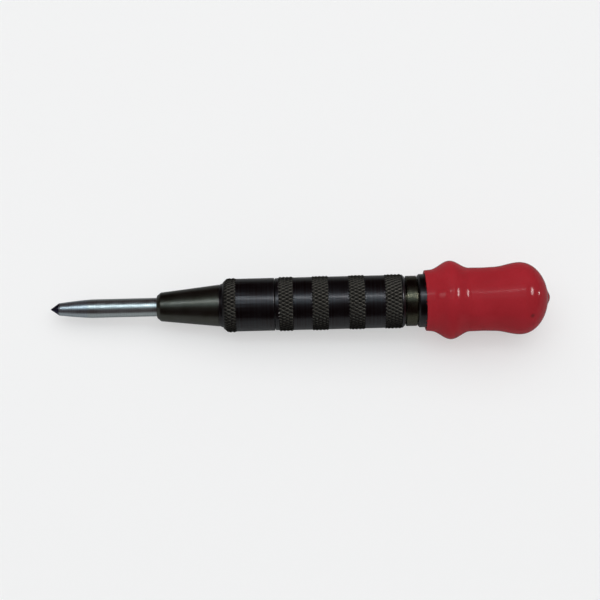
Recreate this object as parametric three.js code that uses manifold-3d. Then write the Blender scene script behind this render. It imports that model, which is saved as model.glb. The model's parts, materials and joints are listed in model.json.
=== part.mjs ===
// Automatic (spring-loaded) centre punch with a vinyl grip cap, as a three.js scene graph.
//
// Units are millimetres. +X runs along the tool's axis from the point to the cap, +Z is up, and the
// origin is the very tip of the point. Every station below is a distance along +X from that tip, with
// the tool at rest: point fully out, adjuster screwed fully in.
//
// How it works: pressing the tool down drives the point, plunger and release pin back by STROKE. The pin
// pushes on the catch plate, which carries the hammer back with it and loads the main spring, while the
// taper in the barrel pushes the catch plate sideways. At the end of the stroke the plate's hole lines up
// with the pin, and the main spring throws the hammer forward over the pin onto the plunger's shoulder.

import * as THREE from "three";
import { mergeVertices } from "three/addons/utils/BufferGeometryUtils.js";
import Module from "manifold-3d";

// ---------------------------------------------------------------- driving dimensions

const FACETS = 40; // sides of a turned outer piece
const INNER_FACETS = 24; // sides of a turned inner piece
const CAP_FACETS = 32; // sides of the vinyl cap
const SPRING_SIDES = 6; // sides of a spring's wire
const GAP = 0.3; // left where two pieces seat face to face
const EDGE = 0.3; // chamfer on a turned edge
const FIT = 0.05; // left around a piece that is fixed inside another
const BAND_STEP = 0.1; // length of the step at the end of a knurled band
const OVERCUT = 0.5; // how far a cutting tool runs past the surface it opens

const STROKE = 7; // travel of the point before the hammer is let go
const CATCH_TRAVEL = 1; // sideways travel of the catch plate over that stroke

// Outside diameters, as radii
const KNURL_R = 7.06; // crests of the knurled bands
const PLAIN_R = 6.85; // turned bands between them
const JOINT_R = 6.55; // bottom of the V where nose and barrel meet
const SHANK_R = 2.4; // the point's round shank
const NECK_R = 6.53; // bare neck of the adjuster screw
const COLLAR_R = 6.92; // plain collar at the front of the adjuster head

// Bores and threads, as radii
const POINT_BORE_R = 2.48; // guides the shank
const PLUNGER_BORE_R = 3.5; // guides the plunger's flange
const HAMMER_BORE_R = 4.65; // guides the hammer
const THREAD_R = 5.9; // M12 x 1 male threads, modelled plain
const THREAD_BORE_R = 6.05; // M12 x 1 female threads, modelled plain
const SCREW_BORE_R = 4.6; // clears the main spring

// Point
const CONE_END = 2.3;
const CONE_R = 1.6;
const TAPER_END = 11.0;
const TAIL_R = 1.5; // threaded tail that screws into the plunger
const TAIL_END = 39.9;

// Nose sleeve
const NOSE_FRONT = 27.8;
const NOSE_FACE_R = 2.9;
const NOSE_CONE_START = 28.8;
const NOSE_CONE_START_R = 3.74;
const NOSE_CONE_END = 43.9;
const NOSE_CONE_END_R = 5.42;
const NOSE_SHOULDER_START = 44.4;
const NOSE_SHOULDER_END = 45.6;
const NOSE_KNURL_END = 48.35;
const PLUNGER_BORE_START = 35.7;
const NOSE_THREAD_START = 48.6;
const NOSE_END = 58.35;

// Barrel: its knurled bands, each [start, end]
const BARREL_FRONT = NOSE_END + GAP;
const BARREL_BANDS = [
  [59.5, 63.1],
  [68.1, 72.2],
  [77.6, 81.6],
  [86.9, 91.2],
];
const BARREL_END = 92.0;
const BARREL_END_R = 6.5;
const SPIGOT_FRONT = 51.3;
const REAR_THREAD_START = 78.0;

// Hammer and catch plate
const PIN_R = 1.4;
const PIN_BORE_R = 1.55;
const HAMMER_R = 4.5;
const HAMMER_FRONT = SPIGOT_FRONT;
const HAMMER_SHOULDER = 69.8;
const HAMMER_BORE_END = 67.5;
const GUIDE_R = 2.9; // spigots that centre the main spring
const GUIDE_LENGTH = 4;
const CATCH_FRONT = 60.4;
const CATCH_THICK = 2.4;
const CATCH_HALF_WIDTH = 2.4;
const CATCH_TIP_R = 4.45; // the plate's rounded end, about the tool's axis once it lines up
const CATCH_FOOT = -2.0; // height of its inner end at rest
const CATCH_HOLE_R = 1.5;
const CATCH_SLACK = 0.1; // play of the plate in its slot, each side
const SLOT_FLOOR = -3.2;
const POCKET_R = 0.9; // seats the catch spring, in the plate and in the hammer
const PLATE_POCKET_TOP = -0.85;
const HAMMER_POCKET_FLOOR = -4.05;
const RECESS_R = 5.6; // room for the plate's tip at rest
const RECESS_FRONT = 59.6;

// Plunger, release pin and stop bush
const FLANGE_R = 3.35;
const FLANGE_END = 37.8;
const ANVIL_R = 2.6;
const ANVIL_END = HAMMER_FRONT + GAP - STROKE; // the shoulder that the hammer strikes
const TAIL_BORE_END = 40.2;
const PIN_BORE_START = 40.8;
const BUSH_FRONT = 48.9;
const BUSH_BACK = SPIGOT_FRONT - GAP;
const BUSH_R = 5.8;
const BUSH_BORE_R = 2.75;

// Adjuster
const SCREW_FRONT = 78.5;
const NECK_FRONT = BARREL_END + GAP;
const NECK_END = 95.1;
const SCREW_SPIGOT_R = 5.6;
const SCREW_END = 104.0;
const HEAD_FRONT = NECK_END + GAP;
const HEAD_COLLAR_END = 98.4;
const HEAD_KNURL_END = 121.0;
const HEAD_END = 127.3;
const HEAD_BORE_R = 5.7;
const HEAD_STEP = SCREW_END + GAP;
const HEAD_BORE_END = 111.2;
const SET_SCREW_X = 100.2;
const SET_SCREW_R = 1.2;
const SET_SCREW_SIDES = 24;
const SOCKET_R = 0.7; // its hexagon socket
const SOCKET_DEPTH = 0.8;
const DIMPLE_DEPTH = 0.6; // where it bites into the adjuster screw

// Spring seat
const SEAT_FRONT = 108.3;
const SEAT_BACK = 110.3;
const SEAT_R = 4.4;

// Vinyl cap: [station, radius] where its outline levels out, joined by smooth ramps
const CAP_OUTLINE = [
  [96.9, 7.93],
  [98.6, 8.05],
  [103.9, 10.27],
  [109.0, 8.33],
  [112.2, 8.3],
  [115.2, 8.38],
  [122.0, 9.44],
];
const CAP_DOME_END = 129.3;
const CAP_WALL = 1.25;
const CAP_BORE_R = 7.28;
const NUB_R = 0.9; // drip left by dip moulding
const OVERALL = 130.0;

// Springs: wire radius, mean coil radius, coils in all, and closed coils at each end
const RETURN_SPRING = { wire: 0.25, coil: 3.05, turns: 5.5, closed: 0.75 };
const MAIN_SPRING = { wire: 0.65, coil: 3.75, turns: 14, closed: 1 };
const CATCH_SPRING = { wire: 0.14, coil: 0.65, turns: 5, closed: 0.75 };
const CATCH_SPRING_GAP = 0.1; // left at each end of the catch spring
const STEPS_PER_TURN = 11; // along a spring's wire

// ---------------------------------------------------------------- materials

function metal(color, roughness) {
  return new THREE.MeshStandardMaterial({ color, roughness, metalness: 1 });
}

const blackOxide = metal(0x2b2a2c, 0.35);
const groundSteel = metal(0xb9c2c4, 0.22);
const hardSteel = metal(0x8b8d90, 0.3);
const oiledSteel = metal(0x6e6a55, 0.3);
const springSteel = metal(0x77787a, 0.35);
const redVinyl = new THREE.MeshStandardMaterial({
  color: 0xa3242f,
  roughness: 0.25,
  metalness: 0,
});

// ---------------------------------------------------------------- geometry helpers

const wasm = await Module();
wasm.setup();

function solidOf(geometry) {
  const bare = new THREE.BufferGeometry();
  const source = geometry.index ? geometry.toNonIndexed() : geometry;
  bare.setAttribute("position", source.getAttribute("position"));
  const merged = mergeVertices(bare, 1e-4);
  return new wasm.Manifold(
    new wasm.Mesh({
      numProp: 3,
      vertProperties: new Float32Array(merged.attributes.position.array),
      triVerts: new Uint32Array(merged.index.array),
    }),
  );
}

function geometryOf(solid) {
  const mesh = solid.getMesh();
  const geometry = new THREE.BufferGeometry();
  geometry.setAttribute(
    "position",
    new THREE.BufferAttribute(mesh.vertProperties, 3),
  );
  geometry.setIndex(new THREE.BufferAttribute(mesh.triVerts, 1));
  geometry.computeVertexNormals();
  return geometry;
}

function cut(geometry, ...tools) {
  let solid = solidOf(geometry);
  for (const tool of tools) solid = solid.subtract(solidOf(tool));
  return geometryOf(solid);
}

// A solid turned about the X axis. The profile is [station, radius] points: along the outside towards
// +X, then back along the bore. It starts and ends on the axis, or else closes on itself.
function turned(profile, facets = FACETS) {
  const points = profile.map(([x, r]) => new THREE.Vector2(r, x));
  const onAxis = profile[0][1] === 0 && profile[profile.length - 1][1] === 0;
  if (!onAxis) points.push(points[0].clone());
  return new THREE.LatheGeometry(points, facets).rotateZ(-Math.PI / 2);
}

// A round bar or hole of radius r that stands along Z from low to high, at station x.
function uprightBar(x, r, low, high, sides = 16) {
  return new THREE.CylinderGeometry(r, r, high - low, sides)
    .rotateX(Math.PI / 2)
    .translate(x, 0, (low + high) / 2);
}

// Radii that pass smoothly from one level to the next, as [station, radius] points.
function easedOutline(levels, steps) {
  const points = [levels[0]];
  for (let i = 1; i < levels.length; i++) {
    const [x0, r0] = levels[i - 1];
    const [x1, r1] = levels[i];
    for (let k = 1; k <= steps; k++) {
      const t = k / steps;
      const ease = (1 - Math.cos(Math.PI * t)) / 2;
      points.push([x0 + (x1 - x0) * t, r0 + (r1 - r0) * ease]);
    }
  }
  return points;
}

// A quarter ellipse from [centre, radius] down to the axis at end, without its first point.
function dome(centre, radius, end, steps, lastRadius = 0) {
  const points = [];
  const last = Math.acos(lastRadius / radius);
  for (let k = 1; k <= steps; k++) {
    const a = (last * k) / steps;
    points.push([
      centre + (end - centre) * Math.sin(a),
      k === steps ? lastRadius : radius * Math.cos(a),
    ]);
  }
  return points;
}

// The centreline of a compression spring along +Z, with closed coils at both ends.
class SpringLine extends THREE.Curve {
  constructor({ wire, coil, turns, closed }, length) {
    super();
    Object.assign(this, { wire, coil, turns, closed });
    this.rise = length - 2 * wire; // of the centreline, end to end
    this.closedPitch = 2.1 * wire;
    this.openPitch =
      (this.rise - 2 * closed * this.closedPitch) / (turns - 2 * closed);
  }

  getPoint(t, target = new THREE.Vector3()) {
    const turn = t * this.turns;
    const front = Math.min(turn, this.closed);
    const back = Math.max(0, turn - (this.turns - this.closed));
    const open = turn - front - back;
    const height =
      this.wire + (front + back) * this.closedPitch + open * this.openPitch;
    const a = 2 * Math.PI * turn;
    return target.set(
      this.coil * Math.cos(a),
      this.coil * Math.sin(a),
      height,
    );
  }
}

function spring(shape, length) {
  const section = new THREE.Shape();
  for (let k = 0; k <= SPRING_SIDES; k++) {
    const a = (2 * Math.PI * k) / SPRING_SIDES;
    const x = shape.wire * Math.cos(a);
    const y = shape.wire * Math.sin(a);
    if (k === 0) section.moveTo(x, y);
    else section.lineTo(x, y);
  }
  return new THREE.ExtrudeGeometry(section, {
    steps: Math.round(shape.turns * STEPS_PER_TURN),
    bevelEnabled: false,
    extrudePath: new SpringLine(shape, length),
  });
}

function springAlongX(shape, start, end) {
  return spring(shape, end - start)
    .rotateY(Math.PI / 2)
    .translate(start, 0, 0);
}

// ---------------------------------------------------------------- the pieces

const punch = new THREE.Group();

function add(name, geometry, material) {
  const mesh = new THREE.Mesh(geometry, material);
  mesh.name = name;
  punch.add(mesh);
}

// Hardened point: a cone, a slightly bellied taper, the shank, and a threaded tail.
function punchPoint() {
  const taper = [];
  for (let k = 1; k <= 4; k++) {
    const t = k / 4;
    const belly = Math.sin((Math.PI / 2) * t);
    taper.push([
      CONE_END + (TAPER_END - CONE_END) * t,
      CONE_R + (SHANK_R - CONE_R) * (0.5 * t + 0.5 * belly),
    ]);
  }
  return turned(
    [
      [0, 0],
      [CONE_END, CONE_R],
      ...taper,
      [PLUNGER_BORE_START - EDGE, SHANK_R],
      [PLUNGER_BORE_START, SHANK_R - EDGE],
      [PLUNGER_BORE_START, TAIL_R],
      [TAIL_END - EDGE, TAIL_R],
      [TAIL_END, TAIL_R - EDGE],
      [TAIL_END, 0],
    ],
    INNER_FACETS,
  );
}

// Plunger: a flange that stops it in the nose, and the shoulder that the hammer strikes.
function plunger() {
  return turned(
    [
      [TAIL_BORE_END, 0],
      [TAIL_BORE_END, TAIL_R + FIT],
      [PLUNGER_BORE_START + GAP, TAIL_R + FIT],
      [PLUNGER_BORE_START + GAP, FLANGE_R - EDGE],
      [PLUNGER_BORE_START + 2 * GAP, FLANGE_R],
      [FLANGE_END, FLANGE_R],
      [FLANGE_END, ANVIL_R],
      [ANVIL_END - EDGE, ANVIL_R],
      [ANVIL_END, ANVIL_R - EDGE],
      [ANVIL_END, PIN_R + FIT],
      [PIN_BORE_START, PIN_R + FIT],
      [PIN_BORE_START, 0],
    ],
    INNER_FACETS,
  );
}

function releasePin() {
  const front = PIN_BORE_START + GAP;
  const back = CATCH_FRONT - GAP;
  return turned(
    [
      [front, 0],
      [front, PIN_R - EDGE],
      [front + EDGE, PIN_R],
      [back - EDGE, PIN_R],
      [back, PIN_R - EDGE],
      [back, 0],
    ],
    INNER_FACETS,
  );
}

// Nose sleeve: guide bore, plunger bore and female thread, under the cone and the first knurled band.
function noseSleeve() {
  return turned([
    [NOSE_FRONT, POINT_BORE_R],
    [NOSE_FRONT, NOSE_FACE_R],
    [NOSE_CONE_START, NOSE_CONE_START_R],
    [NOSE_CONE_END, NOSE_CONE_END_R],
    [NOSE_SHOULDER_START, NOSE_CONE_END_R + 0.1],
    [NOSE_SHOULDER_END, KNURL_R - EDGE],
    [NOSE_SHOULDER_END + 2 * EDGE, KNURL_R],
    [NOSE_KNURL_END, KNURL_R],
    [NOSE_KNURL_END + BAND_STEP, PLAIN_R],
    [NOSE_END - EDGE, PLAIN_R],
    [NOSE_END, JOINT_R],
    [NOSE_END, THREAD_BORE_R],
    [NOSE_THREAD_START, THREAD_BORE_R],
    [NOSE_THREAD_START, PLUNGER_BORE_R],
    [PLUNGER_BORE_START, PLUNGER_BORE_R],
    [PLUNGER_BORE_START, POINT_BORE_R],
  ]);
}

// Stop bush: seats the return spring in front and stops the hammer behind.
function stopBush() {
  return turned(
    [
      [BUSH_FRONT, BUSH_BORE_R],
      [BUSH_FRONT, BUSH_R - EDGE],
      [BUSH_FRONT + EDGE, BUSH_R],
      [BUSH_BACK - EDGE, BUSH_R],
      [BUSH_BACK, BUSH_R - EDGE],
      [BUSH_BACK, BUSH_BORE_R],
    ],
    INNER_FACETS,
  );
}

// Barrel: a threaded spigot in front, four knurled bands, and a bore with the release taper in it.
function barrel() {
  const outside = [
    [SPIGOT_FRONT, HAMMER_BORE_R],
    [SPIGOT_FRONT, THREAD_R - EDGE],
    [SPIGOT_FRONT + EDGE, THREAD_R],
    [BARREL_FRONT, THREAD_R],
    [BARREL_FRONT, JOINT_R],
  ];
  BARREL_BANDS.forEach(([start, end], i) => {
    if (i > 0) outside.push([start - BAND_STEP, PLAIN_R]);
    outside.push([start, KNURL_R], [end, KNURL_R]);
    if (i < BARREL_BANDS.length - 1) outside.push([end + BAND_STEP, PLAIN_R]);
  });
  const recessEnd = CATCH_FRONT + CATCH_THICK;
  const taperEnd =
    recessEnd + ((RECESS_R - HAMMER_BORE_R) * STROKE) / CATCH_TRAVEL;
  return turned([
    ...outside,
    [BARREL_END, BARREL_END_R],
    [BARREL_END, THREAD_BORE_R],
    [REAR_THREAD_START, THREAD_BORE_R],
    [REAR_THREAD_START, HAMMER_BORE_R],
    [taperEnd, HAMMER_BORE_R],
    [recessEnd, RECESS_R],
    [RECESS_FRONT, RECESS_R],
    [RECESS_FRONT, HAMMER_BORE_R],
  ]);
}

// Hammer: bored for the pin, slotted from above for the catch plate, with a guide for the main spring.
function hammer() {
  const guideEnd = HAMMER_SHOULDER + GUIDE_LENGTH;
  const body = turned(
    [
      [HAMMER_BORE_END, 0],
      [HAMMER_BORE_END, PIN_BORE_R],
      [HAMMER_FRONT, PIN_BORE_R],
      [HAMMER_FRONT, HAMMER_R - EDGE],
      [HAMMER_FRONT + EDGE, HAMMER_R],
      [HAMMER_SHOULDER - EDGE, HAMMER_R],
      [HAMMER_SHOULDER, HAMMER_R - EDGE],
      [HAMMER_SHOULDER, GUIDE_R],
      [guideEnd - EDGE, GUIDE_R],
      [guideEnd, GUIDE_R - EDGE],
      [guideEnd, 0],
    ],
    INNER_FACETS,
  );
  const slotTop = HAMMER_R + OVERCUT;
  const slot = new THREE.BoxGeometry(
    CATCH_THICK + 2 * CATCH_SLACK,
    2 * (CATCH_HALF_WIDTH + CATCH_SLACK),
    slotTop - SLOT_FLOOR,
  ).translate(CATCH_FRONT + CATCH_THICK / 2, 0, (slotTop + SLOT_FLOOR) / 2);
  const pocket = uprightBar(
    CATCH_FRONT + CATCH_THICK / 2,
    POCKET_R,
    HAMMER_POCKET_FLOOR,
    SLOT_FLOOR + OVERCUT,
  );
  return cut(body, slot, pocket);
}

// Catch plate: its hole stands CATCH_TRAVEL above the pin's axis until the taper pushes it down.
function catchPlate() {
  const side = Math.sqrt(CATCH_TIP_R ** 2 - CATCH_HALF_WIDTH ** 2);
  const outline = new THREE.Shape();
  outline.moveTo(-CATCH_HALF_WIDTH, CATCH_FOOT);
  outline.lineTo(CATCH_HALF_WIDTH, CATCH_FOOT);
  outline.lineTo(CATCH_HALF_WIDTH, CATCH_TRAVEL + side);
  const start = Math.atan2(side, CATCH_HALF_WIDTH);
  outline.absarc(0, CATCH_TRAVEL, CATCH_TIP_R, start, Math.PI - start, false);
  outline.closePath();
  const hole = new THREE.Path();
  hole.absarc(0, CATCH_TRAVEL, CATCH_HOLE_R, 0, 2 * Math.PI, true);
  outline.holes.push(hole);
  const plate = new THREE.ExtrudeGeometry(outline, {
    depth: CATCH_THICK,
    bevelEnabled: false,
    curveSegments: 12,
  });
  const axes = new THREE.Matrix4().makeBasis(
    new THREE.Vector3(0, 1, 0),
    new THREE.Vector3(0, 0, 1),
    new THREE.Vector3(1, 0, 0),
  );
  plate.applyMatrix4(axes).translate(CATCH_FRONT, 0, 0);
  const pocket = uprightBar(
    CATCH_FRONT + CATCH_THICK / 2,
    POCKET_R,
    CATCH_FOOT - OVERCUT,
    PLATE_POCKET_TOP,
  );
  return cut(plate, pocket);
}

function catchSpring() {
  const bottom = HAMMER_POCKET_FLOOR + CATCH_SPRING_GAP;
  const top = PLATE_POCKET_TOP - CATCH_SPRING_GAP;
  return spring(CATCH_SPRING, top - bottom).translate(
    CATCH_FRONT + CATCH_THICK / 2,
    0,
    bottom,
  );
}

// Spring seat: slides with the adjuster, and lets it turn without winding the main spring up.
function springSeat() {
  const guideFront = SEAT_FRONT - (GUIDE_LENGTH - 1);
  const button = HEAD_BORE_END - GAP;
  return turned(
    [
      [guideFront, 0],
      [guideFront, GUIDE_R - EDGE],
      [guideFront + EDGE, GUIDE_R],
      [SEAT_FRONT, GUIDE_R],
      [SEAT_FRONT, SEAT_R],
      [SEAT_BACK, SEAT_R],
      [SEAT_BACK, GUIDE_R / 2],
      [button, GUIDE_R / 2],
      [button, 0],
    ],
    INNER_FACETS,
  );
}

// Adjuster screw: male thread, the bare neck that shows, and the spigot that the head is fixed on.
function adjusterScrew() {
  const screw = turned([
    [SCREW_FRONT, SCREW_BORE_R],
    [SCREW_FRONT, THREAD_R - 2 * EDGE],
    [SCREW_FRONT + 2 * EDGE, THREAD_R],
    [NECK_FRONT, THREAD_R],
    [NECK_FRONT, NECK_R],
    [NECK_END, NECK_R],
    [NECK_END, SCREW_SPIGOT_R],
    [SCREW_END - EDGE, SCREW_SPIGOT_R],
    [SCREW_END, SCREW_SPIGOT_R - EDGE],
    [SCREW_END, SCREW_BORE_R],
  ]);
  const dimple = uprightBar(
    SET_SCREW_X,
    SET_SCREW_R + 2 * FIT,
    SCREW_SPIGOT_R - DIMPLE_DEPTH,
    SCREW_SPIGOT_R + OVERCUT,
  );
  return cut(screw, dimple);
}

// Adjuster head: plain collar, knurled grip and rounded end, all but the collar under the vinyl cap.
function adjusterHead() {
  const head = turned([
    [HEAD_FRONT, HEAD_BORE_R],
    [HEAD_FRONT, NECK_R],
    [HEAD_FRONT + 0.5, COLLAR_R],
    [HEAD_COLLAR_END, COLLAR_R],
    [HEAD_COLLAR_END + 0.2, KNURL_R],
    [HEAD_KNURL_END, KNURL_R],
    ...dome(HEAD_KNURL_END, KNURL_R, HEAD_END, 6),
    [HEAD_BORE_END, 0],
    [HEAD_BORE_END, SCREW_BORE_R],
    [HEAD_STEP, SCREW_BORE_R],
    [HEAD_STEP, HEAD_BORE_R],
  ]);
  const hole = uprightBar(
    SET_SCREW_X,
    SET_SCREW_R + 2 * FIT,
    HEAD_BORE_R - OVERCUT,
    KNURL_R + OVERCUT,
  );
  return cut(head, hole);
}

// Set screw that locks the head to the screw's spigot, with a hexagon socket.
function headSetScrew() {
  const foot = SCREW_SPIGOT_R - DIMPLE_DEPTH + 3 * FIT;
  const top = KNURL_R - 4 * FIT;
  const body = uprightBar(SET_SCREW_X, SET_SCREW_R, foot, top, SET_SCREW_SIDES);
  const socket = uprightBar(
    SET_SCREW_X,
    SOCKET_R,
    top - SOCKET_DEPTH,
    top + OVERCUT,
    6,
  );
  return cut(body, socket);
}

// Vinyl cap: a shell of even wall that grips the head at the lip and waist and stands off at the swells.
function gripCap() {
  const [lip, ...levels] = CAP_OUTLINE;
  const [crest, crestR] = levels[levels.length - 1];
  const bore = levels.map(([x, r]) => [x, Math.max(CAP_BORE_R, r - CAP_WALL)]);
  const hollowEnd = HEAD_END + GAP;
  return turned(
    [
      [lip[0], CAP_BORE_R],
      [lip[0], lip[1] - EDGE],
      [lip[0] + EDGE, lip[1]],
      ...easedOutline(levels, 4),
      ...dome(crest, crestR, CAP_DOME_END, 7, NUB_R),
      [OVERALL - 0.2, NUB_R * 0.7],
      [OVERALL, 0],
      [hollowEnd, 0],
      ...dome(crest, crestR - CAP_WALL, hollowEnd, 5).reverse().slice(1),
      ...easedOutline(bore, 2).reverse(),
    ],
    CAP_FACETS,
  );
}

add("punch_point", punchPoint(), groundSteel);
add("plunger", plunger(), hardSteel);
add("release_pin", releasePin(), hardSteel);
add(
  "return_spring",
  springAlongX(RETURN_SPRING, FLANGE_END + GAP, BUSH_FRONT - GAP),
  springSteel,
);
add("nose_sleeve", noseSleeve(), blackOxide);
add("stop_bush", stopBush(), hardSteel);
add("barrel", barrel(), blackOxide);
add("hammer", hammer(), hardSteel);
add("catch_plate", catchPlate(), hardSteel);
add("catch_spring", catchSpring(), springSteel);
add(
  "main_spring",
  springAlongX(MAIN_SPRING, HAMMER_SHOULDER + GAP, SEAT_FRONT - GAP),
  springSteel,
);
add("spring_seat", springSeat(), hardSteel);
add("adjuster_screw", adjusterScrew(), oiledSteel);
add("adjuster_head", adjusterHead(), blackOxide);
add("head_set_screw", headSetScrew(), blackOxide);
add("grip_cap", gripCap(), redVinyl);

export default punch;
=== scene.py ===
"""Looks of an automatic centre punch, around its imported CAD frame.

Lengths in this script are millimetres in the frame's own axes: +X from the point to the cap, +Z up, the
origin at the tip. MM turns them into Blender's metres where a mesh, a lamp or the camera is made. Stations
and radii come from the CAD nodes' boxes; the rest are the named values below.
"""

import json
from math import asin, cos, hypot, pi, radians, sin

import bpy
import numpy as np
from mathutils import Matrix, Vector, noise


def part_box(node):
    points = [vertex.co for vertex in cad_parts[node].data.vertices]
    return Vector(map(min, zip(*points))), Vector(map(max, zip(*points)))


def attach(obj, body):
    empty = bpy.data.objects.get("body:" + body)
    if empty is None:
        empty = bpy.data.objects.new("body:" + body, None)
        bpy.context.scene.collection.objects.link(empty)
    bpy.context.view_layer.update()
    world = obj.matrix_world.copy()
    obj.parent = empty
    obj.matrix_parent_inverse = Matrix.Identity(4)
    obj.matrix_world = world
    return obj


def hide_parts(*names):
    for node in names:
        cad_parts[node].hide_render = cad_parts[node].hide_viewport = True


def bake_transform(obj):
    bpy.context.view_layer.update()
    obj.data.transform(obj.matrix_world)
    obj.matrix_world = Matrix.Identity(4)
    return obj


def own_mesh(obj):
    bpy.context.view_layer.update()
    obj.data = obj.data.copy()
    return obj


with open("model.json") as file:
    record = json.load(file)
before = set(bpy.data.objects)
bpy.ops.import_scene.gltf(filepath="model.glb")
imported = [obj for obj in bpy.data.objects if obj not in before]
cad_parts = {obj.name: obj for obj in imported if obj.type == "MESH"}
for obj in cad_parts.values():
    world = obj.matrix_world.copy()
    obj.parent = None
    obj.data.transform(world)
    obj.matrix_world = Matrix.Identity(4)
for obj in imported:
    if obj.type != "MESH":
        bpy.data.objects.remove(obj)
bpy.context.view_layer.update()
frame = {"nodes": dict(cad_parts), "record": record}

MM = 0.001
SHARP_EDGE = 35.0  # degrees

# ---------------------------------------------------------------- sizes


def span(node):
    """First and last station of a CAD node along X."""
    low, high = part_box(node)
    return low.x / MM, high.x / MM


def radius(node):
    """Largest radius of a turned CAD node."""
    low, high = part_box(node)
    return (high.y - low.y) / 2 / MM


TIP, POINT_END = span("punch_point")
NOSE_FRONT, NOSE_END = span("nose_sleeve")
SPIGOT_FRONT, BARREL_END = span("barrel")
SCREW_FRONT, SCREW_END = span("adjuster_screw")
HEAD_FRONT, HEAD_END = span("adjuster_head")
LIP = span("grip_cap")[0]
FLANGE_FRONT = span("plunger")[0]
HAMMER_END = span("hammer")[1]
SEAT_TIP, SEAT_END = span("spring_seat")

GAP = 0.3  # between pieces that seat face to face
CHAMFER = 0.3  # on machined ends
STEP = 0.08  # length of the step beside a knurled band
KNURL_R = radius("barrel")
PLAIN_R = 6.85  # between the knurled bands
JOINT_R = 6.65  # at the seam of nose and barrel
SHANK_R = radius("punch_point")
NECK_R = radius("adjuster_screw")
COLLAR_R = 6.92
CAP_R = radius("grip_cap")

# Point
CONE_END = 2.3
CONE_R = 1.6
TAPER_END = 11.0
CONE_STEPS = 10
TAPER_STEPS = 12
GRIND_END = 9.8  # where the taper's grinding marks stop
STEM_R = 1.5  # the thin rear end, pressed into the plunger
STEM_CENTRE_R = 0.2
STEM_FIT = 0.02  # between the point's shoulder and the plunger

# Nose sleeve
POINT_BORE_R = SHANK_R + 0.08
NOSE_FACE_R = 2.9
NOSE_CONE_START = NOSE_FRONT + 1.0
NOSE_CONE_START_R = 3.74
NOSE_CONE_END = 43.9
NOSE_CONE_END_R = 5.42
NOSE_GROOVE_R = NOSE_CONE_END_R - 0.07  # a fine groove at the foot of the cone
NOSE_SHOULDER_R = 5.72
NOSE_KNURL = (45.0, 48.35)
NOSE_KNURL_RAMP = 1.15  # length of its front chamfer
NOSE_THREAD_DEPTH = 9.4
PLUNGER_BORE_START = FLANGE_FRONT
PLUNGER_BORE_R = 3.5
THREAD_BORE_R = 6.05

# Barrel
BARREL_FRONT = NOSE_END + 0.08  # a tight seam
BANDS = ((59.5, 63.1), (68.1, 72.2), (77.6, 81.6), (86.9, 91.2))
FRONT_RIM_R = KNURL_R - 0.28
REAR_RIM_R = KNURL_R - 0.15
BARREL_END_R = 6.5
BARREL_THREAD_DEPTH = 14.0
LAND_MARGIN = 0.6  # keeps a plain land's shading flat
THREAD_R = 5.9
THREAD_PITCH = 1.0
THREAD_DEPTH = 0.5
THREAD_ROWS = 8  # along one turn of the thread
HAMMER_BORE_R = 4.65

# Knurl: a diamond pattern of two crossed families of grooves
KNURL_CELLS = 44  # around the tool
KNURL_PERIOD = 1.87  # along the tool
KNURL_DEPTH = 0.36
KNURL_ROUNDING = 0.8  # 1 is a sine, and less is fuller
KNURL_RUN_OUT = 0.35  # how far the grooves sink with a band's chamfered end
KNURL_FLOOR_R = JOINT_R - 0.25  # deeper than any groove
BAND_CHAMFER = 0.9  # fall of a band's ends for each millimetre along
BAND_RAMP = 0.2  # length of that chamfer
KNURL_SAMPLES = 5  # mesh rows, and columns, to half a diamond
COLUMNS = 2 * KNURL_CELLS * KNURL_SAMPLES
KNURL_STEP = KNURL_PERIOD / 2 / KNURL_SAMPLES

# Adjuster
NECK_FRONT = BARREL_END + GAP
NECK_END = HEAD_FRONT - GAP
SCREW_CHAMFER = 0.6
UNDERCUT = 0.9  # length of the relief between the thread and the neck
UNDERCUT_R = THREAD_R - 0.45
SCREW_BORE_R = 4.6
SPIGOT_R = 5.6
HEAD_BORE_R = 5.7
COLLAR_CHAMFER = 0.42
HEAD_COLLAR_END = 98.4
HEAD_DOME_START = 121.0

# Vinyl cap: (station, radius) where the outline levels out
LIP_R = 7.93
LIP_BACK = 0.3  # how far the lip's edge draws back
LIP_SKEW = 0.3  # how much more it does so on its -Y side
LIP_REACH = 2.0  # how far along the cap that goes
LIP_WAVES = 0.35  # frequency of its unevenness, per millimetre
CAP_OUTLINE = (
    (LIP, LIP_R),
    (98.6, 8.05),
    (103.9, CAP_R),
    (109.0, 8.33),
    (112.2, 8.3),
    (115.2, 8.38),
    (122.0, 9.44),
)
CAP_DOME_END = 129.25
CAP_WALL = 1.25
CAP_BORE_R = 7.25
NUB_R = 2.6  # drip left by dip moulding
NUB_HEIGHT = 0.6
NUB_RISE = 0.25  # above the axis
CAP_SHRINK = 0.05  # mean and variation of the vinyl's unevenness
CAP_WAVES = 0.16  # frequency of that unevenness, per millimetre
CAP_SEED = Vector((3.1, 7.7, 1.9))
CAP_FLAW = (124.1, -7.1, 5.2)  # a dark fleck in the vinyl

# Springs: wire radius, coil radius, turns, and closed turns at each end
MAIN_SPRING = (0.65, 3.75, 7, 1)  # one half of it
RETURN_SPRING = (0.25, 3.05, 5.5, 0.75)
CATCH_SPRING = (0.14, 0.65, 5, 0.75)
CLOSED_PITCH = 2.1  # wire radii to a closed turn
COIL_STEPS = 28  # along one turn
HAMMER_GUIDE = 4.0  # length of the hammer's spigot inside the main spring
SEAT_GUIDE = 3.0  # length of the spring seat's

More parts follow.
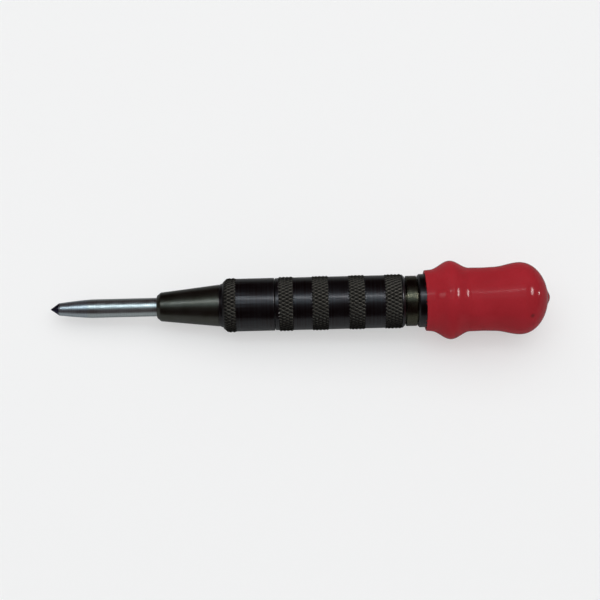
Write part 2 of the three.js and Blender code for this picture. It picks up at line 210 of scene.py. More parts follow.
# How the tool lies, and how it is seen
CAMERA_ELEVATION = 66.5  # degrees, square to the tool's axis
CAMERA_ROLL = 1.4  # degrees
CAMERA_DISTANCE = 400.0
FRAME_WIDTH = 156.0  # of the picture, at the tool
FRAME_MIDDLE = 64.9  # station at the middle of the picture
FRAME_RISE = 0.93  # of the picture's middle above the tool's axis
REST_STATION = NOSE_KNURL[0] + 1.4  # where the nose touches the floor
LAMP_DISTANCE = 900.0
FLOOR_HALF = 4000.0
FLOOR_GLOW = 0.47  # strength of its own light


# ---------------------------------------------------------------- outlines


def rounded(points, size=0.08, steps=3):
    """The outline with each inner corner cut back by size, or less on a short side, and arced."""
    out = [points[0]]
    for before, corner, after in zip(points, points[1:], points[2:]):
        p, c, q = Vector(before), Vector(corner), Vector(after)
        back = min(size, 0.4 * (p - c).length, 0.4 * (q - c).length)
        a = c + (p - c).normalized() * back
        b = c + (q - c).normalized() * back
        for k in range(steps + 1):
            t = k / steps
            out.append(tuple(a * (1 - t) ** 2 + c * (2 * t * (1 - t)) + b * t * t))
    out.append(points[-1])
    return out


def eased(levels, steps):
    """Radii that pass smoothly from one level to the next."""
    out = [levels[0]]
    for (x0, r0), (x1, r1) in zip(levels, levels[1:]):
        for k in range(1, steps + 1):
            t = k / steps
            out.append((x0 + (x1 - x0) * t, r0 + (r1 - r0) * (1 - cos(pi * t)) / 2))
    return out


def dome(centre, r, end, steps):
    """A quarter ellipse from (centre, r) down to the axis at end, without its first point."""
    out = []
    for k in range(1, steps + 1):
        a = pi / 2 * k / steps
        out.append((centre + (end - centre) * sin(a), r * cos(a) if k < steps else 0.0))
    return out


def band_rows(start, end, ramp_in, ramp_out):
    """Rows across a knurled band, on the knurl's own lattice, with its two ends chamfered."""
    count = round((end - start) / KNURL_STEP)
    rows = []
    for k in range(count + 1):
        x = start + (end - start) * k / count
        cut = max(0.0, ramp_in - (x - start), ramp_out - (end - x))
        rows.append((x, KNURL_R - BAND_CHAMFER * cut))
    return rows


# ---------------------------------------------------------------- meshes


def triangle_wave(t):
    """0 at whole numbers and 1 half way between them."""
    return 1 - np.abs(2 * (t - np.floor(t)) - 1)


def knurl_height(x, turns):
    """Rounded diamonds between two crossed families of grooves: 0 in the grooves and 1 on the crests."""
    around = KNURL_CELLS * turns
    along = x / KNURL_PERIOD
    return np.abs(np.sin(pi * (around + along)) * np.sin(pi * (around - along))) ** KNURL_ROUNDING


def knurled(bands):
    """A relief that presses the knurl into the outside surface, within the given bands."""

    def relief(x, r, turns):
        height = knurl_height(x, turns)
        inside = np.zeros_like(x, bool)
        for start, end in bands:
            inside |= (x > start - 1e-4) & (x < end + 1e-4) & (r > THREAD_R)
        cut = KNURL_R - KNURL_DEPTH * (1 - height)
        shape = np.where(inside, np.minimum(r, cut - (KNURL_R - r) * KNURL_RUN_OUT), r)
        return x, shape, np.where(inside, height, 1)

    return relief


def threaded(start, end, outer_r):
    """A relief that cuts a screw thread between two stations, fading out at both ends."""

    def relief(x, r, turns):
        on_outside = np.abs(r - outer_r) < 0.05
        inside = (x > start) & (x < end) & on_outside
        fade = np.clip(np.minimum(x - start, end - x) / THREAD_PITCH, 0, 1)
        groove = 1 - triangle_wave(x / THREAD_PITCH - turns)
        flat_crested = np.clip(groove * 1.25 - 0.15, 0, 1)
        shape = np.where(inside, r - THREAD_DEPTH * flat_crested * fade, r)
        return x, shape, np.where(inside, 1 - groove, 1)

    return relief


def plain(x, r, turns):
    """No relief."""
    return x, r, np.ones_like(x)


def mesh_object(name, points, faces, crest=None):
    """A smooth-shaded mesh with crisp edges, from points in millimetres. crest is the relief's height."""
    mesh = bpy.data.meshes.new(name)
    mesh.from_pydata(points * MM, [], faces)
    mesh.validate()
    mesh.shade_smooth()
    mesh.set_sharp_from_angle(angle=radians(SHARP_EDGE))
    if crest is not None:
        mesh.attributes.new("crest", "FLOAT", "POINT").data.foreach_set("value", crest)
    piece = bpy.data.objects.new(name, mesh)
    bpy.context.scene.collection.objects.link(piece)
    return piece


def turned(name, rows, columns=96, relief=plain, warp=None):
    """A closed mesh turned about X. rows are (station, radius), outside first and then back along the bore.
    It starts and ends on the axis, or else its last row joins its first."""
    on_axis = rows[0][1] == 0 and rows[-1][1] == 0
    ring_rows = rows[1:-1] if on_axis else rows
    x, r = (np.repeat(np.array(v)[:, None], columns, 1) for v in zip(*ring_rows))
    turns = np.repeat((np.arange(columns) / columns)[None, :], len(ring_rows), 0)
    x, r, crest = relief(x, r, turns)
    angle = 2 * pi * turns
    points = np.stack([x, r * np.cos(angle), r * np.sin(angle)], -1).reshape(-1, 3)
    crest = crest.reshape(-1)

    count = len(ring_rows)
    here = np.arange(columns)
    beside = (here + 1) % columns
    faces = []
    for i in range(count - 1 if on_axis else count):
        a, b = i * columns, (i + 1) % count * columns
        faces += np.stack([a + here, b + here, b + beside, a + beside], 1)[:, ::-1].tolist()
    if on_axis:
        points = np.vstack([points, [rows[0][0], 0, 0], [rows[-1][0], 0, 0]])
        crest = np.append(crest, [1, 1])
        first, last = len(points) - 2, len(points) - 1
        a = (count - 1) * columns
        faces += [(first, int(p), int(q)) for p, q in zip(beside, here)]
        faces += [(last, int(a + p), int(a + q)) for p, q in zip(here, beside)]
    if warp:
        points = warp(points)
    return mesh_object(name, points, faces, crest.astype(np.float32))


def coil(name, wire, coil_r, turns, closed, start, end, axis="X", centre=(0, 0, 0), sides=12):
    """A round-wire compression spring with closed ends, from start to end along the axis."""
    rise = end - start - 2 * wire
    closed_pitch = CLOSED_PITCH * wire
    open_pitch = (rise - 2 * closed * closed_pitch) / (turns - 2 * closed)
    count = round(turns * COIL_STEPS)
    turn = np.arange(count + 1) / COIL_STEPS
    front = np.minimum(turn, closed)
    back = np.maximum(0, turn - (turns - closed))
    height = start + wire + (front + back) * closed_pitch + (turn - front - back) * open_pitch
    a = 2 * pi * turn
    line = np.stack([height, coil_r * np.cos(a), coil_r * np.sin(a)], -1)
    along = np.gradient(line, axis=0)
    along /= np.linalg.norm(along, axis=1, keepdims=True)
    outward = np.stack([np.zeros_like(a), np.cos(a), np.sin(a)], -1)
    across = np.cross(along, outward)
    ring = 2 * pi * np.arange(sides) / sides
    points = (
        line[:, None]
        + wire * np.cos(ring)[None, :, None] * outward[:, None]
        + wire * np.sin(ring)[None, :, None] * across[:, None]
    ).reshape(-1, 3)
    here = np.arange(sides)
    beside = (here + 1) % sides
    faces = []
    for i in range(count):
        p, q = i * sides, (i + 1) * sides
        faces += np.stack([p + here, q + here, q + beside, p + beside], 1).tolist()
    faces += [here.tolist()[::-1], (count * sides + here).tolist()]
    if axis == "Z":
        points = points[:, (1, 2, 0)]
    return mesh_object(name, points + np.array(centre), faces)


# ---------------------------------------------------------------- materials


class Look:
    """A material under construction: a Principled shader, and short ways to add nodes to it."""

    def __init__(self, name, **values):
        self.material = bpy.data.materials.new(name)
        self.material.use_nodes = True
        self.tree = self.material.node_tree
        self.shader = next(n for n in self.tree.nodes if n.type == "BSDF_PRINCIPLED")
        for socket, value in values.items():
            self.shader.inputs[socket.replace("_", " ")].default_value = value
        self.place = self.node("ShaderNodeTexCoord").outputs["Object"]
        self.apart = self.node("ShaderNodeSeparateXYZ", Vector=self.place)

    def node(self, kind, **inputs):
        """A new node, with its inputs set or linked by name."""
        made = self.tree.nodes.new(kind)
        for socket, value in inputs.items():
            self.feed(made.inputs[socket.replace("_", " ")], value)
        return made

    def feed(self, socket, value):
        """Links a socket to another's output, or else sets its number or colour."""
        if isinstance(value, bpy.types.NodeSocket):
            self.tree.links.new(value, socket)
        else:
            socket.default_value = value

    def maths(self, operation, a, b=0.0):
        made = self.tree.nodes.new("ShaderNodeMath")
        made.operation = operation
        self.feed(made.inputs[0], a)
        self.feed(made.inputs[1], b)
        return made.outputs[0]

    def spread(self, value, low, high, to_low=0.0, to_high=1.0):
        """value carried from low..high to to_low..to_high, and held at the ends."""
        made = self.node("ShaderNodeMapRange", Value=value)
        for socket, number in zip(made.inputs[1:5], (low, high, to_low, to_high)):
            socket.default_value = number
        return made.outputs[0]

    def cloud(self, size, detail=2.0):
        """Three-dimensional noise, with features about size millimetres across."""
        made = self.node("ShaderNodeTexNoise", Vector=self.place, Scale=1 / (size * MM), Detail=detail)
        return made.outputs["Fac"]

    def rings(self, size, detail=2.0):
        """Noise that changes only along the tool, as marks left by turning do."""
        made = self.tree.nodes.new("ShaderNodeTexNoise")
        made.noise_dimensions = "1D"
        self.feed(made.inputs["W"], self.apart.outputs["X"])
        made.inputs["Scale"].default_value = 1 / (size * MM)
        made.inputs["Detail"].default_value = detail
        return made.outputs["Fac"]

    def mix(self, factor, a, b):
        made = self.tree.nodes.new("ShaderNodeMix")
        made.data_type = "RGBA"
        self.feed(made.inputs[0], factor)
        self.feed(made.inputs[6], a)
        self.feed(made.inputs[7], b)
        return made.outputs[2]

    def colour(self, value):
        self.feed(self.shader.inputs["Base Color"], value)

    def roughness(self, value):
        self.feed(self.shader.inputs["Roughness"], value)

    def bump(self, height, depth, strength=1.0):
        """Relief of depth millimetres, on top of any added before it."""
        made = self.node("ShaderNodeBump", Height=height, Distance=depth * MM, Strength=strength)
        socket = self.shader.inputs["Normal"]
        if socket.links:
            self.feed(made.inputs["Normal"], socket.links[0].from_socket)
        self.feed(socket, made.outputs[0])


def rgb(r, g, b):
    return (r, g, b, 1.0)


def black_oxide():
    """Black oxide on turned steel, faintly brown, under a film of oil. The nose cone is olive."""
    look = Look("black_oxide", Metallic=1.0, Coat_Weight=0.72, Coat_Roughness=0.2, Coat_IOR=1.5)
    cloudy = look.spread(look.cloud(4.0, 3.0), 0.3, 0.7)
    fine = look.spread(look.rings(0.5, 4.0), 0.35, 0.65)
    base = look.mix(cloudy, rgb(0.031, 0.019, 0.02), rgb(0.039, 0.034, 0.037))
    turned_part = look.mix(look.maths("MULTIPLY", fine, 0.4), base, rgb(0.055, 0.062, 0.068))
    cone = look.mix(cloudy, rgb(0.08, 0.077, 0.058), rgb(0.105, 0.103, 0.083))
    past_cone = look.spread(look.apart.outputs["X"], (NOSE_CONE_END - 0.3) * MM, (NOSE_CONE_END + 0.3) * MM)
    look.colour(look.mix(past_cone, cone, turned_part))
    look.roughness(look.spread(look.maths("ADD", cloudy, fine), 0.0, 2.0, 0.34, 0.42))
    look.bump(look.rings(0.16, 2.0), 0.003, 0.6)
    look.bump(look.cloud(0.25, 3.0), 0.002, 0.5)
    return look.material


def knurled_oxide():
    """The same oxide on the knurl, with light and shade painted by the relief's height: a light brown-grey
    in the grooves and dark on the crests.
    """
    look = Look("knurled_oxide", Metallic=1.0, Coat_Weight=0.1, Coat_Roughness=0.4, Coat_IOR=1.5)
    attribute = look.tree.nodes.new("ShaderNodeAttribute")
    attribute.attribute_name = "crest"
    height = attribute.outputs["Fac"]
    cloudy = look.spread(look.cloud(1.6, 3.0), 0.3, 0.7)
    # painted highlight: a light brown-grey in the grooves; the dark crest colour below is painted shade
    painted_groove_light = look.mix(cloudy, rgb(0.13, 0.121, 0.104), rgb(0.185, 0.172, 0.147))
    look.colour(look.mix(look.spread(height, 0.15, 0.5), painted_groove_light, rgb(0.032, 0.03, 0.027)))
    look.roughness(look.spread(cloudy, 0.0, 1.0, 0.66, 0.76))
    look.bump(look.cloud(0.2, 3.0), 0.004, 0.6)
    return look.material


def ground_steel():
    """The point: a bright ground shank, and a cone and tip darkened by polishing and heat."""
    look = Look("ground_steel", Metallic=1.0)
    along = look.apart.outputs["X"]
    edge = look.maths("ADD", along, look.spread(look.cloud(0.8), 0.3, 0.7, -0.12 * MM, 0.12 * MM))
    past_cone = look.spread(edge, (CONE_END - 0.15) * MM, (CONE_END + 0.3) * MM)
    past_grind = look.spread(edge, (GRIND_END - 0.2) * MM, (GRIND_END + 0.2) * MM)
    ringed = look.spread(look.rings(0.22, 3.0), 0.3, 0.7)
    shank = look.mix(ringed, rgb(0.67, 0.73, 0.73), rgb(0.78, 0.84, 0.84))
    taper = look.mix(ringed, rgb(0.64, 0.71, 0.75), rgb(0.76, 0.83, 0.88))
    cone = look.mix(look.cloud(0.5), rgb(0.03, 0.028, 0.05), rgb(0.07, 0.065, 0.12))
    look.colour(look.mix(past_cone, cone, look.mix(past_grind, taper, shank)))
    look.roughness(look.spread(look.cloud(2.0, 3.0), 0.3, 0.7, 0.32, 0.4))
    look.bump(look.rings(0.12, 2.0), 0.0015, 0.5)
    return look.material


def oiled_steel():
    """The neck: turned steel under a thin olive-brown oxide."""
    look = Look("oiled_steel", Metallic=1.0)
    cloudy = look.spread(look.cloud(2.5, 3.0), 0.3, 0.7)
    ringed = look.spread(look.rings(0.3, 3.0), 0.3, 0.7)
    base = look.mix(cloudy, rgb(0.075, 0.07, 0.045), rgb(0.11, 0.105, 0.075))
    look.colour(look.mix(look.maths("MULTIPLY", ringed, 0.5), base, rgb(0.14, 0.13, 0.095)))
    look.roughness(look.spread(cloudy, 0.0, 1.0, 0.24, 0.32))
    look.bump(look.rings(0.14, 2.0), 0.004, 0.5)
    return look.material


def hard_steel():
    """Turned and hardened inner pieces, with a light film of oil."""
    look = Look("hard_steel", Metallic=1.0)
    ringed = look.spread(look.rings(0.3, 3.0), 0.3, 0.7)
    cloudy = look.spread(look.cloud(3.0, 3.0), 0.3, 0.7)
    base = look.mix(ringed, rgb(0.36, 0.36, 0.37), rgb(0.47, 0.47, 0.48))
    look.colour(look.mix(look.maths("MULTIPLY", cloudy, 0.35), base, rgb(0.3, 0.27, 0.22)))
    look.roughness(look.spread(cloudy, 0.0, 1.0, 0.24, 0.36))
    look.bump(look.rings(0.15, 2.0), 0.004, 0.5)
    return look.material


def spring_steel():
    """Drawn spring wire, with faint draw marks and a heat tint."""
    look = Look("spring_steel", Metallic=1.0)
    cloudy = look.spread(look.cloud(1.2, 4.0), 0.3, 0.7)
    look.colour(look.mix(cloudy, rgb(0.27, 0.26, 0.26), rgb(0.4, 0.39, 0.38)))
    look.roughness(look.spread(cloudy, 0.0, 1.0, 0.28, 0.4))
    look.bump(look.cloud(0.12, 3.0), 0.004, 0.5)
    return look.material


def red_vinyl():
    """Glossy dip-moulded vinyl, slightly uneven in colour and surface."""
    look = Look("red_vinyl", Specular_IOR_Level=0.1, Subsurface_Weight=0.08, Subsurface_Scale=0.002)
    look.shader.inputs["Subsurface Radius"].default_value = (1.0, 0.25, 0.2)
    cloudy = look.spread(look.cloud(9.0, 3.0), 0.3, 0.7)
    speckle = look.spread(look.cloud(0.7, 3.0), 0.55, 0.75)
    base = look.mix(cloudy, rgb(0.335, 0.019, 0.0265), rgb(0.39, 0.0225, 0.032))
    speckled = look.mix(look.maths("MULTIPLY", speckle, 0.25), base, rgb(0.27, 0.015, 0.021))
    flaw = look.node("ShaderNodeVectorMath", Vector=look.place)
    flaw.operation = "DISTANCE"
    flaw.inputs[1].default_value = Vector(CAP_FLAW) * MM
    near_flaw = look.spread(flaw.outputs["Value"], 0.3 * MM, 0.8 * MM, 0.6, 0.0)
    at_drip = look.spread(look.apart.outputs["X"], CAP_DOME_END * MM, (CAP_DOME_END + 0.4) * MM, 0.0, 0.9)
    darker = look.maths("MAXIMUM", near_flaw, at_drip)
    look.colour(look.mix(darker, speckled, rgb(0.07, 0.016, 0.015)))
    look.roughness(look.spread(look.cloud(2.2, 3.0), 0.3, 0.7, 0.1, 0.18))
    look.bump(look.cloud(3.5, 2.0), 0.02, 0.4)
    look.bump(look.cloud(0.5, 2.0), 0.0015, 0.5)
    return look.material


def pale_floor():
    """A pale table, lit a little from within. Shiny surfaces see it dimmer, and dimmest behind the tool."""
    look = Look("pale_floor", Roughness=0.85)
    path = look.node("ShaderNodeLightPath")
    pale = look.mix(look.cloud(60.0, 4.0), rgb(0.86, 0.86, 0.86), rgb(0.89, 0.89, 0.885))
    lit = look.mix(path.outputs["Is Camera Ray"], pale, rgb(0.45, 0.45, 0.45))
    behind = look.spread(look.apart.outputs["Y"], -20 * MM, 60 * MM)
    dim = look.mix(behind, rgb(0.31, 0.325, 0.33), rgb(0.13, 0.13, 0.13))
    look.colour(look.mix(path.outputs["Is Glossy Ray"], lit, dim))
    look.feed(look.shader.inputs["Emission Color"], rgb(1.0, 1.0, 1.0))
    glow = look.maths("MULTIPLY", path.outputs["Is Camera Ray"], FLOOR_GLOW)
    look.feed(look.shader.inputs["Emission Strength"], glow)
    return look.material


LOOKS = {
    "black_oxide": black_oxide(),
    "ground_steel": ground_steel(),
    "oiled_steel": oiled_steel(),
    "hard_steel": hard_steel(),
    "spring_steel": spring_steel(),
    "red_vinyl": red_vinyl(),
}
KNURLED = knurled_oxide()


# ---------------------------------------------------------------- pieces


def knurl_finish(piece, bands):
    """Gives the knurled faces of a turned piece their own version of the finish."""
    mesh = piece.data
    mesh.materials.append(KNURLED)
    centre = np.empty(3 * len(mesh.polygons))
    mesh.polygons.foreach_get("center", centre)
    x, y, z = centre.reshape(-1, 3).T / MM
    inside = np.zeros(len(x), bool)
    for start, end in bands:
        inside |= (x > start) & (x < end) & (np.hypot(y, z) > KNURL_FLOOR_R)
    mesh.polygons.foreach_set("material_index", inside.astype(np.int32))


def show(piece, body, slot, *nodes):
    """Puts a new piece in the model: its finish, the body it rides on, and the CAD nodes it stands for."""
    piece.data.materials.clear()
    piece.data.materials.append(LOOKS[slot])
    if nodes:
        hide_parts(*nodes)
    if body:
        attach(piece, body)


def make_point():
    """The polished cone, a taper with a slight belly, the ground shank and its thin rear end."""
    taper = []
    for k in range(1, TAPER_STEPS + 1):
        t = k / TAPER_STEPS
        belly = 0.5 * t + 0.5 * sin(pi / 2 * t)
        taper.append((CONE_END + (TAPER_END - CONE_END) * t, CONE_R + (SHANK_R - CONE_R) * belly))
    cone = [(TIP + CONE_END * k / CONE_STEPS, CONE_R * k / CONE_STEPS) for k in range(1, CONE_STEPS)]
    shoulder = FLANGE_FRONT
    shank = [(TAPER_END + k, SHANK_R) for k in range(1, int(shoulder - TAPER_END))]
    tail = rounded(
        [
            (shoulder - 1.0, SHANK_R),
            (shoulder - GAP, SHANK_R),
            (shoulder - STEM_FIT, SHANK_R - CHAMFER),
            (shoulder - STEM_FIT, STEM_R),
            (POINT_END - CHAMFER, STEM_R),
            (POINT_END, STEM_R - CHAMFER),
            (POINT_END, STEM_CENTRE_R),
        ]
    )
    rows = [(TIP, 0.0)] + cone + [(CONE_END, CONE_R)] + taper + shank + tail + [(POINT_END, 0.0)]
    show(turned("point", rows, 64), "plunger", "ground_steel", "punch_point")


def make_nose():
    """The cone, its knurled ring and its plain band, bored for the shank, the plunger and the barrel."""
    start, end = NOSE_KNURL
    front = rounded(
        [
            (NOSE_FRONT + 0.5, POINT_BORE_R),
            (NOSE_FRONT, POINT_BORE_R),
            (NOSE_FRONT, NOSE_FACE_R),
            (NOSE_CONE_START, NOSE_CONE_START_R),
            (NOSE_CONE_END, NOSE_CONE_END_R),
            (NOSE_CONE_END + 0.06, NOSE_GROOVE_R),
            (NOSE_CONE_END + 0.22, NOSE_GROOVE_R),
            (NOSE_CONE_END + 0.28, NOSE_CONE_END_R + 0.06),
            (start - 0.1, NOSE_SHOULDER_R),
        ],
        0.12,
    )
    knurl = band_rows(start, end, NOSE_KNURL_RAMP, BAND_RAMP)
    back = rounded(
        [
            (end + STEP, PLAIN_R),
            (NOSE_END - 0.16, PLAIN_R),
            (NOSE_END, JOINT_R),
            (NOSE_END, THREAD_BORE_R),
            (NOSE_END - NOSE_THREAD_DEPTH, THREAD_BORE_R),
            (NOSE_END - NOSE_THREAD_DEPTH, PLUNGER_BORE_R),
            (PLUNGER_BORE_START, PLUNGER_BORE_R),
            (PLUNGER_BORE_START, POINT_BORE_R),
        ]
    )
    rows = front + knurl + back
    piece = turned("nose", rows, COLUMNS, knurled([NOSE_KNURL]))
    show(piece, "barrel", "black_oxide", "nose_sleeve")
    knurl_finish(piece, [NOSE_KNURL])


def make_barrel():
    """The knurled body, with a threaded spigot in front and the adjuster's bore behind."""
    rows = rounded(
        [
            (SPIGOT_FRONT + CHAMFER, HAMMER_BORE_R),
            (SPIGOT_FRONT, HAMMER_BORE_R),
            (SPIGOT_FRONT, THREAD_R - CHAMFER),
            (SPIGOT_FRONT + CHAMFER, THREAD_R),
            (BARREL_FRONT, THREAD_R),
            (BARREL_FRONT, JOINT_R),
            (BARREL_FRONT + 0.2, KNURL_R - CHAMFER),
            (BANDS[0][0] - STEP, FRONT_RIM_R),
        ]
    )
    for i, (start, end) in enumerate(BANDS):
        if i > 0:
            rows += [(start - LAND_MARGIN, PLAIN_R), (start - STEP, PLAIN_R)]
        rows += band_rows(start, end, BAND_RAMP, BAND_RAMP)
        if i < len(BANDS) - 1:
            rows += [(end + STEP, PLAIN_R), (end + LAND_MARGIN, PLAIN_R)]
    rows += rounded(
        [
            (BANDS[-1][1] + 0.06, REAR_RIM_R),
            (BANDS[-1][1] + 0.25, REAR_RIM_R),
            (BARREL_END - 0.25, BARREL_END_R + 0.1),
            (BARREL_END, BARREL_END_R - 0.1),
            (BARREL_END, THREAD_BORE_R),
            (BARREL_END - BARREL_THREAD_DEPTH, THREAD_BORE_R),
            (BARREL_END - BARREL_THREAD_DEPTH, HAMMER_BORE_R),
            (SPIGOT_FRONT + 1.0, HAMMER_BORE_R),
        ]
    )
    piece = turned("body", rows, COLUMNS, knurled(BANDS))
    show(piece, "barrel", "black_oxide", "barrel")
    knurl_finish(piece, BANDS)


def make_adjuster_screw():
    """A hollow threaded tube, the bare neck and the spigot that holds the head."""
    rows = rounded(
        [
            (SCREW_FRONT + 1.0, SCREW_BORE_R),
            (SCREW_FRONT, SCREW_BORE_R),
            (SCREW_FRONT, THREAD_R - SCREW_CHAMFER),
            (SCREW_FRONT + SCREW_CHAMFER, THREAD_R),
        ]
    )
    thread_end = NECK_FRONT - UNDERCUT
    step = THREAD_PITCH / THREAD_ROWS
    count = int((thread_end - SCREW_FRONT - SCREW_CHAMFER) / step)
    rows += [(SCREW_FRONT + SCREW_CHAMFER + step * k, THREAD_R) for k in range(1, count)]
    rows += rounded(
        [
            (thread_end, UNDERCUT_R),
            (NECK_FRONT, UNDERCUT_R),
            (NECK_FRONT, NECK_R - 0.15),
            (NECK_FRONT + 0.15, NECK_R),
            (NECK_END, NECK_R),
            (NECK_END, SPIGOT_R),
            (SCREW_END - CHAMFER, SPIGOT_R),
            (SCREW_END, SPIGOT_R - CHAMFER),
            (SCREW_END, SCREW_BORE_R),
        ]
    )
    relief = threaded(SCREW_FRONT + CHAMFER, thread_end, THREAD_R)
    show(turned("screw", rows, 128, relief), "adjuster", "oiled_steel", "adjuster_screw")


def make_adjuster_head():
    """The head that the vinyl is moulded on, with its bare collar in front."""
    bore_end = SEAT_END + GAP
    inside = [(bore_end, 0.0), (bore_end, SCREW_BORE_R), (SCREW_END + GAP, SCREW_BORE_R)]
    inside += [(SCREW_END + GAP, HEAD_BORE_R)]
    outside = rounded(
        [
            (HEAD_FRONT + 1.0, HEAD_BORE_R),
            (HEAD_FRONT, HEAD_BORE_R),
            (HEAD_FRONT, NECK_R),
            (HEAD_FRONT + COLLAR_CHAMFER, COLLAR_R),
            (HEAD_COLLAR_END, COLLAR_R),
            (HEAD_COLLAR_END + 0.2, KNURL_R),
            (HEAD_DOME_START, KNURL_R),
        ]
    )
    rows = inside + outside + dome(HEAD_DOME_START, KNURL_R, HEAD_END, 16)
    show(turned("head", rows, 128), "adjuster", "black_oxide", "adjuster_head")


def make_cap():
    """The hollow vinyl cap: lip, front swell, waist and domed end with its drip, all slightly uneven."""
    levels = CAP_OUTLINE[1:]
    crest, crest_r = levels[-1]
    bore = [(x, max(CAP_BORE_R, r - CAP_WALL)) for x, r in levels]
    hollow_end = HEAD_END + GAP
    lip = rounded([(LIP + 0.8, CAP_BORE_R), (LIP, CAP_BORE_R), (LIP, LIP_R), levels[0]], 0.25, 5)
    outside = lip[1:] + eased(levels, 14)[1:] + dome(crest, crest_r, CAP_DOME_END, 34)
    inside = dome(crest, crest_r - CAP_WALL, hollow_end, 12)[::-1] + eased(bore, 5)[::-1]
    rows = inside + outside

    def warp(points):
        """Shrinks the skin unevenly, draws the lip back and raises the drip."""
        out = points.copy()
        for p in out:
            x, y, z = p
            r = hypot(y, z)
            if r < 1e-6 or r < CAP_BORE_R and x < crest:
                continue
            swell = noise.noise(Vector((x, y, z)) * CAP_WAVES + CAP_SEED)
            shrink = CAP_SHRINK + CAP_SHRINK * swell
            p[1] *= 1 - shrink / max(r, 2.0)
            p[2] *= 1 - shrink / max(r, 2.0)
            if x < LIP + LIP_REACH:
                wave = noise.noise(Vector((y, z, 0)) * LIP_WAVES + CAP_SEED)
                lean = 0.5 - 0.5 * y / r + 0.1 * wave
                p[0] += (LIP_BACK + LIP_SKEW * max(0.0, lean)) * (LIP + LIP_REACH - x) / LIP_REACH
            if x > hollow_end:
                off = hypot(y, z - NUB_RISE)
                if off < NUB_R:
                    p[0] += NUB_HEIGHT * cos(pi / 2 * off / NUB_R) ** 2
        return out

    show(turned("cap", rows, 144, warp=warp), "adjuster", "red_vinyl", "grip_cap")


def make_main_spring():
    """Two coils end to end, from the hammer's spigot to the spring seat's; the front one rides on the
    barrel.
    """
    start = HAMMER_END - HAMMER_GUIDE + GAP
    end = SEAT_TIP + SEAT_GUIDE - GAP
    middle = (start + end) / 2
    front = coil("main_spring_front", *MAIN_SPRING, start, middle)
    show(front, "barrel", "spring_steel", "main_spring")
    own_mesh(front)
    rear = coil("main_spring_rear", *MAIN_SPRING, middle, end)
    show(rear, None, "spring_steel", "main_spring")
    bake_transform(rear)


def make_return_spring():
    """A light spring between the stop bush and the plunger, which shortens it."""
    start, end = span("return_spring")
    piece = coil("return_spring_coil", *RETURN_SPRING, start, end)
    show(piece, "barrel", "spring_steel", "return_spring")
    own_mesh(piece)


def make_catch_spring():
    """A small spring that stands across the hammer."""
    low, high = (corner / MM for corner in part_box("catch_spring"))
    x = (low.x + high.x) / 2
    piece = coil("catch_spring_coil", *CATCH_SPRING, low.z, high.z, "Z", (x, 0, 0), 8)
    show(piece, "hammer", "spring_steel", "catch_spring")
    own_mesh(piece)


def dress_cad_nodes():
    """Inner pieces keep their CAD shape and get a proper finish."""
    for row in frame["record"]["subparts"]:
        node = frame["nodes"][row["node"]]
        node.data.materials.clear()
        node.data.materials.append(LOOKS[row["material_slot"]])


dress_cad_nodes()
make_point()
make_nose()
make_barrel()
make_adjuster_screw()
make_adjuster_head()
make_cap()
make_main_spring()
make_return_spring()
make_catch_spring()


# ---------------------------------------------------------------- studio

FILL = rgb(0.42, 0.42, 0.42)
DIM_ROOM = rgb(0.02, 0.006, 0.007)
PALE_ROOM = rgb(0.85, 0.85, 0.85)


def make_floor():
    """A floor that touches the nose's knurled ring and the cap's front swell."""
    swell_station = CAP_OUTLINE[2][0]
    tilt = Matrix.Rotation(asin((CAP_R - KNURL_R) / (swell_station - REST_STATION)), 4, "Y")
    up = tilt @ Vector((0, 0, 1))
    touch = (Vector((REST_STATION, 0, 0)) - up * KNURL_R) * MM
    corners = FLOOR_HALF * np.array([(-1, -1, 0), (1, -1, 0), (1, 1, 0), (-1, 1, 0)])
    floor_piece = mesh_object("floor", corners, [(0, 1, 2, 3)])
    floor_piece.matrix_world = Matrix.Translation(touch) @ tilt
    floor_piece.data.materials.append(pale_floor())


def square_on(elevation, sideways=0.0):
    """A turn that looks at the tool from that elevation, and from sideways degrees towards +X."""
    return Matrix.Rotation(radians(90 - elevation), 4, "X") @ Matrix.Rotation(radians(sideways), 4, "Y")


def look_from(turn, distance, target=Vector((FRAME_MIDDLE, 0, 0))):
    """The place of a lamp or camera that looks at the target from a distance, turned that way."""
    return Matrix.Translation(target * MM) @ turn @ Matrix.Translation((0, 0, distance * MM))


def add_lamp(name, elevation, sideways, width, depth, glow, seen=True, fills=True, tint=(1, 1, 1)):
    """An area lamp of that glow, its radiance. Shiny surfaces mirror it if it is seen, and it lights
    matt surfaces if it fills."""
    lamp = bpy.data.lights.new(name, "AREA")
    lamp.shape = "RECTANGLE"
    lamp.size = width * MM
    lamp.size_y = depth * MM
    lamp.energy = glow * pi * lamp.size * lamp.size_y
    lamp.color = tint
    holder = bpy.data.objects.new(name, lamp)
    bpy.context.scene.collection.objects.link(holder)
    holder.matrix_world = look_from(square_on(elevation, sideways), LAMP_DISTANCE)
    holder.visible_glossy = seen
    holder.visible_diffuse = fills


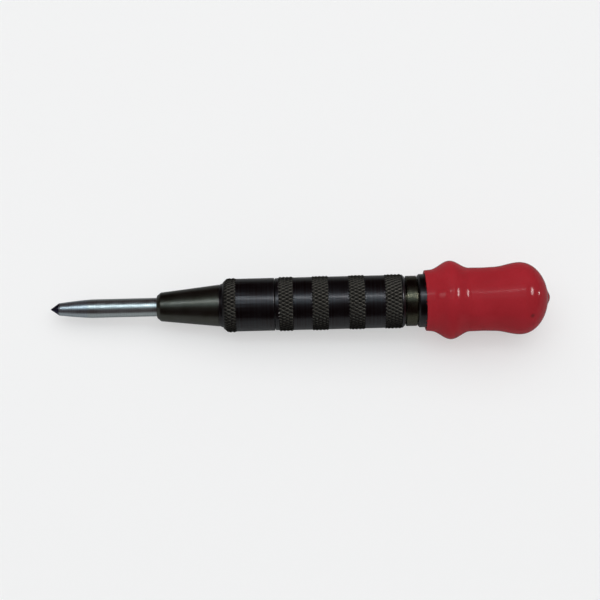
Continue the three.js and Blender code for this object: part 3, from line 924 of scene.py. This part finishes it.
def make_world():
    """A pale room to the eye and for soft fill, which shiny surfaces see as dim."""
    world = bpy.data.worlds.new("room")
    bpy.context.scene.world = world
    world.use_nodes = True
    tree = world.node_tree
    path = tree.nodes.new("ShaderNodeLightPath")
    colour = FILL
    for ray, seen in (("Is Glossy Ray", DIM_ROOM), ("Is Camera Ray", PALE_ROOM)):
        mix = tree.nodes.new("ShaderNodeMix")
        mix.data_type = "RGBA"
        tree.links.new(path.outputs[ray], mix.inputs[0])
        if colour is FILL:
            mix.inputs[6].default_value = colour
        else:
            tree.links.new(colour, mix.inputs[6])
        mix.inputs[7].default_value = seen
        colour = mix.outputs[2]
    tree.links.new(colour, tree.nodes["Background"].inputs["Color"])


def make_lamps():
    """A soft ceiling, a strip and a broad panel over the tool, a thin bright line and three small sparks.
    Each has its elevation, its degrees sideways, its width and depth, and its glow."""
    add_lamp("ceiling", 103, 0, 1500, 1300, 1.04, seen=False)
    add_lamp("strip", 93, -4, 840, 190, 1.05, tint=(0.86, 1.0, 1.08))
    add_lamp("panel", 88, -4, 840, 620, 0.55, fills=False, tint=(0.74, 1.0, 1.12))
    add_lamp("line", 93, -2, 800, 14, 17.0, fills=False)
    add_lamp("spark_right", 94, 51, 140, 250, 48.0, fills=False)
    add_lamp("spark_end", 150, 82, 60, 110, 40.0, fills=False)
    add_lamp("spark_left", 90, -57, 130, 160, 5.0, fills=False)


def make_camera():
    """A long lens, square to the tool's axis and rolled a little."""
    data = bpy.data.cameras.new("camera")
    data.sensor_width = 36.0
    data.lens = data.sensor_width * CAMERA_DISTANCE / FRAME_WIDTH
    data.clip_start = 0.01
    camera = bpy.data.objects.new("camera", data)
    bpy.context.scene.collection.objects.link(camera)
    turn = square_on(CAMERA_ELEVATION) @ Matrix.Rotation(radians(-CAMERA_ROLL), 4, "Z")
    target = Vector((FRAME_MIDDLE, 0, 0)) + turn @ Vector((0, FRAME_RISE, 0))
    camera.matrix_world = look_from(turn, CAMERA_DISTANCE, target)
    bpy.context.scene.camera = camera


make_floor()
make_lamps()
make_world()
make_camera()
bpy.context.scene.view_settings.view_transform = "Standard"
